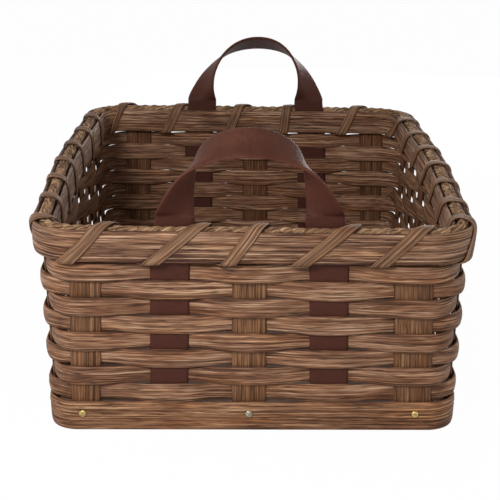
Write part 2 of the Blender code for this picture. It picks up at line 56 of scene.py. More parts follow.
# Sizes of the CAD, which the dressed pieces follow
RIM_LENGTH = 308 * MM
RIM_WIDTH = 232 * MM
RIM_HEIGHT = 112.1 * MM
RIM_DROP = 2 * MM
FOOT_LENGTH = 302 * MM
FOOT_WIDTH = 216.2 * MM
RIM_CORNER_RADIUS = 28.3 * MM
FOOT_CORNER_RADIUS = 15.6 * MM
SIDE_BOW = 3.6 * MM
GAP = 0.3 * MM
BOARD_THICKNESS = 15 * MM
BOTTOM_BAND_HEIGHT = 17 * MM
BOTTOM_BAND_THICKNESS = 2 * MM
NAIL_HEIGHT = 10.3 * MM
NAIL_HEAD_RADIUS = 1.8 * MM
NAIL_HEAD_RISE = 0.9 * MM
NAIL_SHANK_RADIUS = 0.8 * MM
STAKE_WIDTH = 17.4 * MM
WIDE_STAKE = "stake_front_3"
WIDE_STAKE_WIDTH = 20.6 * MM
STAKE_THICKNESS = 1.5 * MM
STAKE_LIFT = 0.5 * MM
END_STAKE_INSET = 4.2 * MM
SIDE_STAKE_INSET = 3.7 * MM
FRONT_STAKES_SHIFT = -2 * MM
REAR_STAKES_SHIFT = -3.5 * MM
SIDE_STAKES = 7
STRAP_WIDTH = 20.1 * MM
STRAP_THICKNESS = 2 * MM
STRAP_INSET = 1.5 * MM
STRAP_RIM_LEAN = 2.1 * MM
ROWS = 8
WEAVER_THICKNESS = 1.3 * MM
WEAVER_CROWN = 0.3 * MM
RIM_WEAVER_HEIGHT = 9 * MM
BAND_HEIGHT = 16.9 * MM
BAND_THICKNESS = 2.5 * MM
ROPE_HEIGHT = 6.2 * MM
ROPE_RISE = 0.8 * MM
LASH_WIDTH = 6.5 * MM
LASH_THICKNESS = 0.95 * MM
LASH_CLEARANCE = 0.45 * MM
LASH_EDGE = 0.8 * MM
LASH_TOP_LEANS = (11 * MM, 12 * MM, 11 * MM, 15 * MM)
LASH_FACE_RUN = 6 * MM
LASH_PASS_BACKS = {
    "stake_front_2": 2.4 * MM,
    "front_strap_leg_right": 5.2 * MM,
    "stake_front_3": 8.3 * MM,
    "stake_right_1": -6 * MM,
}
LASH_TOP_BACKS = {
    "stake_front_2": 5 * MM,
    "stake_front_3": 4 * MM,
    "stake_right_1": -5 * MM,
}
LOOP_STRAIGHT = 3 * MM
LOOP_RISE = 44.1 * MM
LOOP_LEAN = 13.2 * MM
LOOP_SHIFTS = {"front": -1.2 * MM, "rear": -1.9 * MM}
LOOP_TILTS = {"front": math.radians(36), "rear": math.radians(32)}
# The line of half a loop from leg to top: shares of the legs' place, the lean, the rise and a half turn
LOOP_SHARES = {
    "front": (
        (1, 0, 0, 0),
        (1, 0.11, 0.03, 0.17),
        (0.855, 0.35, 0.59, 0.323),
        (0.46, 0.35, 0.908, 0.44),
        (0, 1, 1, 0.5),
    ),
    "rear": (
        (1, 0, 0, 0),
        (1, 0.05, 0.053, 0.17),
        (0.96, 0.33, 0.382, 0.33),
        (0.54, 0.6, 0.888, 0.4),
        (0, 0.93, 0.97, 0.5),
    ),
}

# Layers of the wall, as distances outward
INNER_CLEAR = STRAP_THICKNESS / 2 + GAP
WEAVE_FACE = INNER_CLEAR + WEAVER_THICKNESS + WEAVER_CROWN
OUTER_BAND_FACE = WEAVE_FACE + GAP
OUTER_FACE = OUTER_BAND_FACE + BAND_THICKNESS
STRAP_RIM_SHIFT = WEAVE_FACE
INNER_BAND_FACE = -(STRAP_RIM_SHIFT + STRAP_THICKNESS / 2 + GAP)
INNER_FACE = INNER_BAND_FACE - BAND_THICKNESS
FOOT_FACE = INNER_CLEAR + BOTTOM_BAND_THICKNESS

# Plan of the stakes' middle surface
RIM_HALF_X = RIM_WIDTH / 2 - OUTER_FACE
RIM_HALF_Y = RIM_LENGTH / 2 - OUTER_FACE
FOOT_HALF_X = FOOT_WIDTH / 2 - FOOT_FACE
FOOT_HALF_Y = FOOT_LENGTH / 2 - FOOT_FACE
BEND_RADIUS = RIM_CORNER_RADIUS - OUTER_FACE
FOOT_BEND_RADIUS = FOOT_CORNER_RADIUS - FOOT_FACE
STRAIGHT_X = RIM_HALF_X - BEND_RADIUS
STRAIGHT_Y = RIM_HALF_Y - BEND_RADIUS
BEND_RUN = BEND_RADIUS * math.pi / 2
END_STAKE_PLACE = STRAIGHT_X - END_STAKE_INSET
SIDE_STAKE_PITCH = 2 * (STRAIGHT_Y - SIDE_STAKE_INSET) / (SIDE_STAKES - 1)
STRAP_PLACE = END_STAKE_PLACE / 2 - STRAP_INSET
STRAP_PLACE_AT_RIM = STRAP_PLACE - STRAP_RIM_LEAN
SIDE_HALVES = np.array([STRAIGHT_X, STRAIGHT_Y, STRAIGHT_X, STRAIGHT_Y])
FRONT, RIGHT, REAR, LEFT = range(4)
SIDE_NAMES = ("front", "right", "rear", "left")
SIDE_STEP = STRAIGHT_X + BEND_RUN + STRAIGHT_Y
SIDE_RUNS = np.arange(4) * SIDE_STEP
WALL_RUN = 4 * SIDE_STEP
SHIFTS = np.array([FRONT_STAKES_SHIFT, 0, REAR_STAKES_SHIFT, 0])

# Heights
BAND_BOTTOM = RIM_HEIGHT - BAND_HEIGHT
LASH_PASS_TOP = BAND_BOTTOM - GAP
LASH_PASS_BOTTOM = LASH_PASS_TOP - LASH_THICKNESS
WEAVE_BOTTOM = BOTTOM_BAND_HEIGHT + GAP
WEAVE_TOP = LASH_PASS_BOTTOM - GAP
ROW_PITCH = (WEAVE_TOP - WEAVE_BOTTOM + GAP) / ROWS
ROW_HEIGHT = ROW_PITCH - GAP
ROPE_TOP = RIM_HEIGHT + ROPE_RISE
ROPE_CENTRE = ROPE_TOP - ROPE_HEIGHT / 2
STAKE_TOP = ROPE_TOP - ROPE_HEIGHT - GAP
LASH_TOP = ROPE_TOP + LASH_CLEARANCE + LASH_THICKNESS
HINGE_HEIGHT = LASH_TOP - RIM_DROP / 4 + GAP + STRAP_THICKNESS / 2

# How the dressed strips are shaped
STATION_STEP = 2.6 * MM
EDGE_POWER = 5
EDGE_LIMIT_SHARE = 0.999
EDGE_CROWD_SHARE = 0.6
# Painted shade along each strip's edges: where it starts across the half width, and how dark it gets
EDGE_SHADE_START_SHARE = 0.84
EDGE_SHADE_SHARE = 0.6
SEAM_GAP = 0.25 * MM
GRAIN_OFFSET = 3.7
GROOVE_PLACE_SHARE = 0.35
GROOVE_DRIFT_SHARE = 0.03
GROOVE_DRIFT_WAVE = 50 * MM
GROOVE_KEEP_SHARES = (0.55, 0.45)
GROOVE_KEEP_WAVE = 35 * MM
GROOVE_DEPTH_SHARES = (0.35, 1)
GROOVE_WIDTH_SHARE = 0.42
GROOVE_WIDTH_SHARES = (0.6, 1.4)

# How the rows weave and swell
WEAVE_WAVE = 1.95 * MM
WEAVE_THICKNESS = 1.5 * MM
WEAVE_DOME = 0.7 * MM
WEAVE_FLATNESS = 1.0
WEAVE_TOUCH = 0.15 * MM
WEAVE_TOUCH_SHARE = 0.15
WEAVE_SWELL = 1.4 * MM
INSIDE_SWELL_SHARE = 1.7
FRONT_INSIDE_SHARE = -0.2
FRONT_START_SHARE = 0.6
FRONT_FULL_SHARE = 0.8
TOP_ROW_CUT = 0.7 * MM
TOP_ROW_TILT = -0.1
LAST_ROW_REACH = 0.9 * MM
WEAVER_FACES = 34
WEAVER_GROOVES = 6
WEAVER_GROOVE_DEPTH = 0.3 * MM
WEAVER_WIDTH_DRIFT = 0.12 * MM
WEAVER_WIDTH_WAVE = 30 * MM
WEAVER_LIFT = 0.25 * MM
WEAVER_LIFT_WAVE = 60 * MM
WEAVER_TILT = 0.06
WEAVER_TILT_WAVE = 50 * MM
WEAVER_OFFSET = 0.1 * MM
WEAVER_OFFSET_WAVE = 45 * MM
SEAM_STAKES = {1: "stake_left_4", -1: "stake_left_3"}

# The stakes and the bands
STAKE_FACES = 44
STAKE_GROOVES = 11
STAKE_GROOVE_DEPTH = 0.14 * MM
STAKE_WIDTH_DRIFT = 0.5 * MM
STAKE_WIDTH_WAVE = 40 * MM
BAND_FACES = 72
BAND_GROOVES = 12
BAND_GROOVE_DEPTH = 0.36 * MM
BAND_SEAM_TURN = 8
INNER_BAND_DROP = 0.9 * MM
FOOT_GROOVES = 10
FOOT_GROOVE_DEPTH = 0.3 * MM

# How the lashing lies
LASH_HUG = 0.05 * MM
LASH_ARCH = 0.5 * MM
LASH_ARCH_DROP = 5 * MM
LASH_ARCH_POWER = 2.6
LASH_CORNER_RADIUS = 0.8 * MM
LASH_BEND_POINTS = 7
LASH_ARCH_POINTS = 81
LASH_LINE_POINTS = 600
LASH_STEP = 0.75 * MM
LASH_SMOOTH_REACH = 4
LASH_FACES = 19
LASH_GROOVES = 4
LASH_GROOVE_DEPTH = 0.24 * MM
LASH_CROWN = 0.15 * MM

# How the rope is twisted
ROPE_STRANDS = 2
ROPE_TWISTS = 76
ROPE_LIFT = 0.7 * MM
ROPE_STEP = 1.1 * MM
STRAND_RADIUS = 2.6 * MM
STRAND_FACES = 36
STRAND_LOBES = 6
STRAND_SPIN_SHARE = 0.5
STRAND_UNEVEN_SHARE = 0.05
LOBE_DRIFT = 1.5
LOBE_DRIFT_WAVE = 10 * MM
STRAND_SWELL_WAVE = 5 * MM

# The straps, and their bend zone at the rim
STRAP_STEP = 1 * MM
STRAP_FACES = 22
STRAP_EDGE_POWER = 8
STRAP_LEG_POINTS = 60
STRAP_LOOP_POINTS = 161
STRAP_WIDTH_DRIFT = 0.15 * MM
STRAP_WIDTH_WAVE = 30 * MM
STRAP_RIPPLE = 0.06 * MM
STRAP_RIPPLE_WAVE = 12 * MM
STRAP_EDGE_START_SHARE = 0.955
STRAP_EDGE_SPAN_SHARE = 0.03
# How soon the loop's top turns to the lighter leather of its painted top light
STRAP_LIT_TOP_SHARE = 1.3
BLEND_HALF = 1.8 * MM

# The board's edges
BOARD_POINTS = 240
BOARD_FOOT = 0.2 * MM
BOARD_FOOT_EDGE = 0.3 * MM
BOARD_FOOT_TOP = 0.6 * MM
BOARD_EDGE = 0.9 * MM
BOARD_EDGE_SHARE = 0.3

# The nails' heads, a little wider than they are in the solids
DOME_RADIUS = NAIL_HEAD_RADIUS + 0.2 * MM
DOME_LIFT = 0.15 * MM
DOME_RIM_SHARE = 0.96
DOME_END_SHARE = 0.97
DOME_RINGS = 9
DOME_DENT_SHARE = 0.03
NAIL_FACES = 28
NAIL_SHOWN_SHANK = 3 * MM
WORN_NAILS = ("nail_front_2", "nail_right_1", "nail_rear_1", "nail_left_3")

# Colours as they show on a screen, each reed's from its darkest hollow, a painted shade, to its
# lightest ridge, a painted highlight
WEAVER_SHADES = ((60, 35, 21), (99, 66, 46), (122, 87, 65), (147, 113, 88), (184, 151, 124))
STAKE_SHADES = ((48, 28, 16), (79, 51, 32), (101, 69, 46), (125, 90, 63), (154, 119, 89))
BAND_SHADES = ((58, 35, 25), (98, 67, 48), (121, 89, 68), (147, 115, 91), (188, 155, 127))
FOOT_SHADES = ((60, 35, 22), (98, 64, 42), (120, 83, 57), (142, 105, 76), (172, 135, 102))
LASH_SHADES = ((58, 37, 24), (95, 67, 47), (116, 85, 63), (139, 106, 80), (176, 142, 112))
GRASS_SHADES = ((66, 44, 28), (108, 79, 55), (142, 109, 80), (166, 133, 101), (190, 158, 124))
BOARD_SHADES = ((66, 43, 31), (98, 68, 50), (128, 92, 68))
LEATHER_SHADES = ((65, 36, 27), (75, 43, 32), (84, 50, 38))
# The legs' darker leather is painted shade
SHADED_LEG_LEATHER = (67, 37, 29)
CREASE_LEATHER = (48, 25, 20)
EDGE_LEATHER = (86, 46, 36)
GOLD_BRASS = (196, 168, 108)
WORN_BRASS = (168, 158, 138)
WARM_STAIN = (255, 240, 222)

# How deep each finish is
REED_RELIEF = 0.45 * MM
LEATHER_RELIEF = 0.22 * MM
GRASS_RELIEF = 0.3 * MM
BOARD_RELIEF = 0.2 * MM
BRASS_RELIEF = 0.05 * MM

# The photograph's camera
CAMERA_PLACE = (-6.51 * MM, -778.78 * MM, 306.47 * MM)
CAMERA_YAW = 0.0073
CAMERA_PITCH = 0.31611
CAMERA_ROLL = 0.00543
CAMERA_LENS = 93.98
CAMERA_SENSOR = 36
CAMERA_CLIP = 10 * MM

# The studio: each lamp's place, target, width in metres and power in watts
LAMPS = {
    "key": ((-0.27, -0.58, 0.46), (0, -0.15, 0.06), 0.22, 4.0),
    "fill": ((0.2, -0.9, 0.2), (0, -0.15, 0.04), 0.4, 0.9),
    "rear": ((0.2, 0.85, 0.2), (0, 0.15, 0.05), 0.5, 3.3),
    "left": ((-0.95, 0.15, 0.15), (-0.1, 0, 0.05), 0.4, 2.4),
    "right": ((0.95, 0.15, 0.15), (0.1, 0, 0.05), 0.4, 2.4),
}
WORLD_STRENGTH = 0.29
FLOOR_HALF = 6.0
FLOOR_DROP = 0.2 * MM
FLOOR_GLOW_SHARE = 0.98


# Wall geometry


def between(low, high, share):
    return low + (high - low) * share


def eased(share):
    return share * share * (3 - 2 * share)


def side_of(run):
    """The side whose middle is nearest along the wall, and how far the run is past that middle."""
    run = np.mod(run, WALL_RUN)
    side = np.searchsorted(SIDE_RUNS + SIDE_HALVES + BEND_RUN, run, side="right")
    past = run - SIDE_STEP * side
    side = side % 4
    return side, past


def wall_point(run, height, outward):
    """Points at runs along the wall, heights and distances outward from the stakes' middle."""
    run, height, outward = np.broadcast_arrays(run, height, outward)
    side, past = side_of(run)
    end_wall = (side == FRONT) | (side == REAR)
    rise = height / RIM_HEIGHT
    radius = between(FOOT_BEND_RADIUS, BEND_RADIUS, rise)
    straight_x = between(FOOT_HALF_X, RIM_HALF_X, rise) - radius
    straight_y = between(FOOT_HALF_Y, RIM_HALF_Y, rise) - radius
    straight = np.where(end_wall, straight_x, straight_y)
    ahead = np.where(end_wall, straight_y, straight_x)
    share = np.clip(past / SIDE_HALVES[side], -1, 1)
    bow = np.where(end_wall, 0, SIDE_BOW * rise * (1 + np.cos(math.pi * share)) / 2)
    angle = np.clip((past - SIDE_HALVES[side]) / BEND_RUN, 0, 1) * math.pi / 2
    on = straight * share + (radius + outward) * np.sin(angle)
    out = ahead + bow + (radius + outward) * np.cos(angle)
    turn = side * math.pi / 2
    x = on * np.cos(turn) + out * np.sin(turn)
    y = on * np.sin(turn) - out * np.cos(turn)
    return np.stack([x, y, height - RIM_DROP * rise * (x / RIM_WIDTH + 0.5)], axis=-1)


def plumb_point(run, height, outward):
    """The same points of the wall, but at their full height wherever they are along the rim."""
    points = wall_point(run, height, outward)
    points[..., 2] = height
    return points


def stakes_in_order():
    """Each stake round the wall, as its node's name, run, width, thickness and kind."""
    ends = (-END_STAKE_PLACE, -STRAP_PLACE, 0, STRAP_PLACE, END_STAKE_PLACE)
    places = [(n - (SIDE_STAKES - 1) / 2) * SIDE_STAKE_PITCH for n in range(SIDE_STAKES)]
    stakes = []
    for side, name in enumerate(SIDE_NAMES):
        number = 0
        for place in ends if side in (FRONT, REAR) else places:
            run = SIDE_RUNS[side] + SHIFTS[side] + place
            if side in (FRONT, REAR) and abs(place) == STRAP_PLACE:
                hand = "left" if place < 0 else "right"
                stakes.append((f"{name}_strap_leg_{hand}", run, STRAP_WIDTH, STRAP_THICKNESS, "strap"))
            else:
                number += 1
                node = f"stake_{name}_{number}"
                width = WIDE_STAKE_WIDTH if node == WIDE_STAKE else STAKE_WIDTH
                stakes.append((node, run, width, STAKE_THICKNESS, "reed"))
    return stakes


STAKES = stakes_in_order()


# Random shapes, all seeded


def wander(rng, along, wavelength):
    """A smooth random line from -1 to 1 along a strip, whose values are a wavelength apart."""
    place = (along - along.min()) / wavelength
    knots = rng.uniform(-1, 1, int(place.max()) + 3)
    first = np.floor(place).astype(int)
    share = place - first
    return between(knots[first], knots[first + 1], eased(share))


def groove_depths(rng, along, spots, count, depth, width):
    """Grooves that run along a strip: how deep each of its spots across is at each station."""
    cut = np.zeros((len(along), len(spots)))
    for number in range(count):
        place = number + 0.5 + rng.uniform(-GROOVE_PLACE_SHARE, GROOVE_PLACE_SHARE)
        middle = -1 + 2 * place / count
        drift = middle + GROOVE_DRIFT_SHARE * wander(rng, along, GROOVE_DRIFT_WAVE)
        keep = GROOVE_KEEP_SHARES[0] + GROOVE_KEEP_SHARES[1] * wander(rng, along, GROOVE_KEEP_WAVE)
        deep = depth * rng.uniform(*GROOVE_DEPTH_SHARES) * np.clip(keep, 0, 1)
        wide = width * rng.uniform(*GROOVE_WIDTH_SHARES)
        gap = (spots[None, :] - drift[:, None]) / wide
        cut += deep[:, None] * np.exp(-gap * gap)
    return cut


def strip_section(
    rng, along, width, thickness, faces, grooves=0, depth=0.0, crown=0.0, power=EDGE_POWER
):
    """The rounded section of a strip at each station: its distances across and out, and how hollow
    the face is there from 0 to 1, with painted shade along its edges."""
    spots = np.sin(np.linspace(-math.pi / 2, math.pi / 2, faces) * EDGE_LIMIT_SHARE)
    spots = between(spots, np.linspace(-1, 1, faces), EDGE_CROWD_SHARE)
    edge = np.sqrt(np.clip(1 - np.abs(spots) ** power, 0, 1))
    dome = crown * (1 - spots * spots)
    half = np.broadcast_to(np.asarray(width) / 2, (len(along),))
    cut = np.zeros((len(along), faces))
    back_cut = np.zeros((len(along), faces))
    if grooves:
        cut = groove_depths(rng, along, spots, grooves, depth, GROOVE_WIDTH_SHARE / grooves)
        back_cut = groove_depths(rng, along, spots, grooves, depth, GROOVE_WIDTH_SHARE / grooves)
    face = (thickness / 2 + dome) * edge - cut * edge
    back = -thickness / 2 * edge + back_cut * edge
    back_spots = spots[::-1][1:-1]
    across = np.concatenate([half[:, None] * spots, half[:, None] * back_spots], axis=1)
    out = np.concatenate([face, back[:, ::-1][:, 1:-1]], axis=1)
    hollow = np.concatenate([cut, back_cut[:, ::-1][:, 1:-1]], axis=1)
    if depth:
        hollow = np.clip(hollow / depth, 0, 1)
    # Painted shade along the strip's edges, joined with the grooves' depth
    places = np.abs(np.append(spots, back_spots))
    edge_shade = EDGE_SHADE_SHARE * np.clip((places - EDGE_SHADE_START_SHARE) / (1 - EDGE_SHADE_START_SHARE), 0, 1)
    return across, out, np.maximum(hollow, edge_shade)


# Meshes


def solid_from_rings(name, rings, material, grain, hollow=None, tone=0.0):
    """A closed mesh through equal rings of points, one for each station, with a cap at each end."""
    stations, count, _ = rings.shape
    index = np.arange(stations * count).reshape(stations, count)
    first, second = index[:-1], index[1:]
    quads = np.stack([first, np.roll(first, -1, 1), np.roll(second, -1, 1), second], axis=-1)
    faces = quads.reshape(-1, 4).tolist() + [index[0][::-1].tolist(), index[-1].tolist()]
    points = rings.reshape(-1, 3)
    corner = points[quads.reshape(-1, 4)]
    spread = np.cross(corner[:, 2] - corner[:, 0], corner[:, 3] - corner[:, 1])
    if np.einsum("ij,ij->", spread, corner.mean(axis=1) - points.mean(axis=0)) < 0:
        faces = [face[::-1] for face in faces]
    mesh = bpy.data.meshes.new(name)
    mesh.from_pydata(points.tolist(), [], faces)
    mesh.shade_smooth()
    mesh.materials.append(material)
    attribute = mesh.attributes.new("grain", "FLOAT_VECTOR", "POINT")
    attribute.data.foreach_set("vector", np.ascontiguousarray(grain, dtype=np.float32).ravel())
    if hollow is not None:
        attribute = mesh.attributes.new("hollow", "FLOAT", "POINT")
        attribute.data.foreach_set("value", np.ascontiguousarray(hollow, dtype=np.float32).ravel())
    attribute = mesh.attributes.new("tone", "FLOAT", "POINT")
    tones = np.broadcast_to(tone, (stations, count)).astype(np.float32)
    attribute.data.foreach_set("value", tones.ravel())
    piece = bpy.data.objects.new(name, mesh)
    bpy.context.scene.collection.objects.link(piece)
    return piece


def grain_of(along, across, out, number):
    """The grain's coordinates on a strip: along it, across it and out, apart for each piece."""
    along = np.broadcast_to(along, across.shape) + number * GRAIN_OFFSET
    return np.stack([along, across, np.broadcast_to(out, across.shape)], axis=-1)


# Materials


class Tree:
    """A material's nodes, with short ways to add and join them."""

    def __init__(self, name):
        self.material = bpy.data.materials.new(name)
        self.material.use_nodes = True
        self.nodes = self.material.node_tree.nodes
        self.links = self.material.node_tree.links
        self.shader = self.nodes["Principled BSDF"]

    def add(self, kind, inputs=(), **settings):
        node = self.nodes.new(kind)
        for key, value in settings.items():
            setattr(node, key, value)
        for key, value in dict(inputs).items():
            self.set(node.inputs[key], value)
        return node

    def set(self, socket, value):
        if isinstance(value, bpy.types.NodeSocket):
            self.links.new(value, socket)
        else:
            socket.default_value = value

    def grain(self):
        return self.add("ShaderNodeAttribute", attribute_name="grain").outputs["Vector"]

    def value_of(self, name):
        return self.add("ShaderNodeAttribute", attribute_name=name).outputs["Fac"]

    def object_place(self):
        return self.add("ShaderNodeTexCoord").outputs["Object"]

    def stretched(self, vector, scale):
        node = self.add("ShaderNodeVectorMath", {0: vector, 1: scale}, operation="MULTIPLY")
        return node.outputs[0]

    def noise(self, vector, scale, detail=3.0, roughness=0.55, distortion=0.0):
        inputs = {"Vector": self.stretched(vector, scale), "Scale": 1.0, "Detail": detail}
        inputs.update({"Roughness": roughness, "Distortion": distortion})
        return self.add("ShaderNodeTexNoise", inputs).outputs["Fac"]

    def math(self, operation, *values):
        node = self.add("ShaderNodeMath", dict(enumerate(values)), operation=operation)
        return node.outputs[0]

    def sum_of(self, start, *terms):
        """A start value plus, for each term, how far its value is past its rest times its weight."""
        total = start
        for value, rest, weight in terms:
            past = self.math("SUBTRACT", value, rest)
            total = self.math("MULTIPLY_ADD", past, weight, total)
        return total

    def shifted(self, vector, distance):
        node = self.add("ShaderNodeVectorMath", {0: vector, 1: (distance, 0, 0)}, operation="ADD")
        return node.outputs[0]

    def between(self, value, low, high):
        """The value spread so that low becomes 0 and high becomes 1, and limited there."""
        inputs = {"Value": value, "From Min": low, "From Max": high}
        return self.add("ShaderNodeMapRange", inputs, clamp=True).outputs[0]

    def ramp(self, value, stops):
        node = self.add("ShaderNodeValToRGB", {"Fac": value})
        elements = node.color_ramp.elements
        while len(elements) < len(stops):
            elements.new(0.5)
        for element, (place, colour) in zip(elements, stops):
            element.position = place
            element.color = (*linear(colour), 1)
        return node.outputs["Color"]

    def mix(self, share, first, second, blend="MIX"):
        node = self.add("ShaderNodeMix", data_type="RGBA", blend_type=blend)
        self.set(node.inputs["Factor"], share)
        for socket, colour in ((node.inputs[6], first), (node.inputs[7], second)):
            joined = isinstance(colour, bpy.types.NodeSocket)
            self.set(socket, colour if joined else (*linear(colour), 1))
        return node.outputs[2]

    def bump(self, height, distance):
        inputs = {"Height": height, "Distance": distance, "Strength": 1.0}
        return self.add("ShaderNodeBump", inputs).outputs["Normal"]

    def finish(self, **sockets):
        for key, value in sockets.items():
            self.set(self.shader.inputs[key.replace("_", " ").title()], value)
        return self.material


def linear(colour):
    """Red, green and blue from 0 to 255 as they show on a screen, made linear."""
    shares = [channel / 255 for channel in colour]
    return [s / 12.92 if s <= 0.04045 else ((s + 0.055) / 1.055) ** 2.4 for s in shares]


def reed_material(name, shades, contrast=1.0, cracks=1.0):
    """Split reed, stained: ridges and fibres along the grain, thin dark lines between them and short
    dark cracks. The shades run from the darkest hollow to the lightest ridge. The grooves and the
    strip's edges are darkened as painted shade, and the lightest shade is a painted highlight."""
    tree = Tree(name)
    grain = tree.grain()
    hollow = tree.value_of("hollow")
    ridge = tree.noise(grain, (7, 950, 300), detail=1, roughness=0.5)
    fibre = tree.noise(tree.shifted(grain, 3), (24, 1500, 400), detail=1, roughness=0.5)
    fleck = tree.noise(tree.shifted(grain, 21), (90, 1900, 500), detail=1, roughness=0.5)
    patch = tree.noise(grain, (30, 90, 40), detail=3)
    warm = tree.noise(tree.shifted(grain, 17), (24, 140, 50), detail=2)
    seam = tree.noise(tree.shifted(grain, 7), (9, 400, 200), detail=1)
    crack = tree.noise(tree.shifted(grain, 13), (90, 1500, 300), detail=1)
    # The grooves and the strip's edges, from the hollow attribute, are darkened here as painted shade
    tone = tree.sum_of(
        0.54,
        (ridge, 0.5, 0.55 * contrast),
        (fibre, 0.5, 0.9 * contrast),
        (fleck, 0.5, 0.85 * contrast),
        (patch, 0.5, 0.6),
        (hollow, 0, -0.42 * contrast),
        (tree.value_of("tone"), 0, 0.05),
    )
    # The darkest shade goes to the grooves as painted shade, and the lightest stands for pale highlight
    # streaks along the fibres, a painted highlight
    places = (0.12, 0.36, 0.52, 0.68, 0.92)
    colour = tree.ramp(tone, tuple(zip(places, shades)))
    colour = tree.mix(tree.between(warm, 0.45, 0.68), colour, WARM_STAIN, blend="MULTIPLY")
    lined = tree.between(tree.math("ABSOLUTE", tree.math("SUBTRACT", seam, 0.5)), 0.022, 0.0)
    colour = tree.mix(tree.math("MULTIPLY", lined, 0.6), colour, shades[0])
    cracked = tree.math("MULTIPLY", tree.between(crack, 0.63, 0.69), 0.75 * cracks)
    colour = tree.mix(cracked, colour, [channel * 0.6 for channel in shades[0]])
    lift = tree.sum_of(
        0,
        (ridge, 0.5, 0.8),
        (fibre, 0.5, 1.2),
        (fleck, 0.5, 0.5),
        (lined, 0, -0.25),
        (cracked, 0, -0.3),
    )
    normal = tree.bump(lift, REED_RELIEF)
    tree.shader.inputs["Roughness"].default_value = 0.6
    tree.shader.inputs["Specular IOR Level"].default_value = 0.18
    return tree.finish(base_color=colour, normal=normal)


def leather_material():
    """Dark reddish brown strap leather with fine creases and a redder cut edge, and with painted shade
    that makes the legs darker than the loop's top.
    """
    tree = Tree("strap_leather_look")
    grain = tree.grain()
    edge = tree.value_of("hollow")
    creases = tree.noise(grain, (620, 420, 620), detail=5, roughness=0.62, distortion=1.2)
    pebble = tree.add(
        "ShaderNodeTexVoronoi",
        {"Vector": tree.stretched(grain, (1500, 1500, 1500)), "Scale": 1.0},
        feature="SMOOTH_F1",
    ).outputs["Distance"]
    patch = tree.noise(grain, (55, 75, 55), detail=3)
    colour = tree.ramp(patch, tuple(zip((0.3, 0.5, 0.72), LEATHER_SHADES)))
    # Painted shade: the legs take a darker leather, the loop's top the lighter one as if lit from above
    colour = tree.mix(tree.value_of("tone"), colour, SHADED_LEG_LEATHER)
    creased = tree.math("MULTIPLY", tree.between(creases, 0.53, 0.68), 0.5)
    colour = tree.mix(creased, colour, CREASE_LEATHER)
    colour = tree.mix(edge, colour, EDGE_LEATHER)
    lift = tree.math("ADD", creases, tree.math("MULTIPLY", pebble, 0.35))
    normal = tree.bump(lift, LEATHER_RELIEF)
    tree.shader.inputs["Roughness"].default_value = 0.55
    tree.shader.inputs["Specular IOR Level"].default_value = 0.08
    return tree.finish(base_color=colour, normal=normal)


def seagrass_material():
    """Twisted grass: blades along the strand from olive to straw, with painted shade in the gaps
    between them.
    """
    tree = Tree("seagrass_look")
    grain = tree.grain()
    hollow = tree.value_of("hollow")
    blades = tree.noise(grain, (60, 1300, 1300), detail=3, roughness=0.6)
    patch = tree.noise(grain, (60, 200, 200), detail=2)
    # The gaps between the strand's lobes are darkened here as painted shade
    tone = tree.sum_of(0.52, (blades, 0.5, 1.4), (patch, 0.5, 1.0), (hollow, 0, -0.3))
    colour = tree.ramp(tone, tuple(zip((0.15, 0.35, 0.5, 0.65, 0.85), GRASS_SHADES)))
    tree.shader.inputs["Roughness"].default_value = 0.75
    tree.shader.inputs["Specular IOR Level"].default_value = 0.2
    return tree.finish(base_color=colour, normal=tree.bump(blades, GRASS_RELIEF))


def board_material():
    """A stained softwood board with its grain along the basket."""
    tree = Tree("stained_board_look")
    place = tree.object_place()
    rings = tree.noise(place, (90, 5, 60), detail=4, roughness=0.6, distortion=0.4)
    pores = tree.noise(place, (1400, 45, 700), detail=2)
    tone = tree.math("ADD", tree.math("MULTIPLY", rings, 0.7), tree.math("MULTIPLY", pores, 0.3))
    colour = tree.ramp(tone, tuple(zip((0.3, 0.5, 0.7), BOARD_SHADES)))
    return tree.finish(base_color=colour, roughness=0.6, normal=tree.bump(tone, BOARD_RELIEF))


def brass_material(name, colour):
    """Brass with small dark spots of wear."""
    tree = Tree(name)
    place = tree.object_place()
    wear = tree.noise(place, (900, 900, 900), detail=3)
    shade = tree.ramp(wear, ((0.35, [channel * 0.6 for channel in colour]), (0.6, colour)))
    normal = tree.bump(wear, BRASS_RELIEF)
    return tree.finish(base_color=shade, metallic=1.0, roughness=0.34, normal=normal)


# Pieces


def seeded(number):
    return np.random.default_rng(number)


def wave_at(run):
    """Where the weave is between stakes: 1 as it passes an even stake and -1 an odd one."""
    places = np.array([stake[1] for stake in STAKES])
    places = np.append(places, places[0] + WALL_RUN)
    wrapped = np.mod(run - places[0], WALL_RUN) + places[0]
    number = np.interp(wrapped, places, np.arange(len(places)))
    return np.cos(math.pi * number)


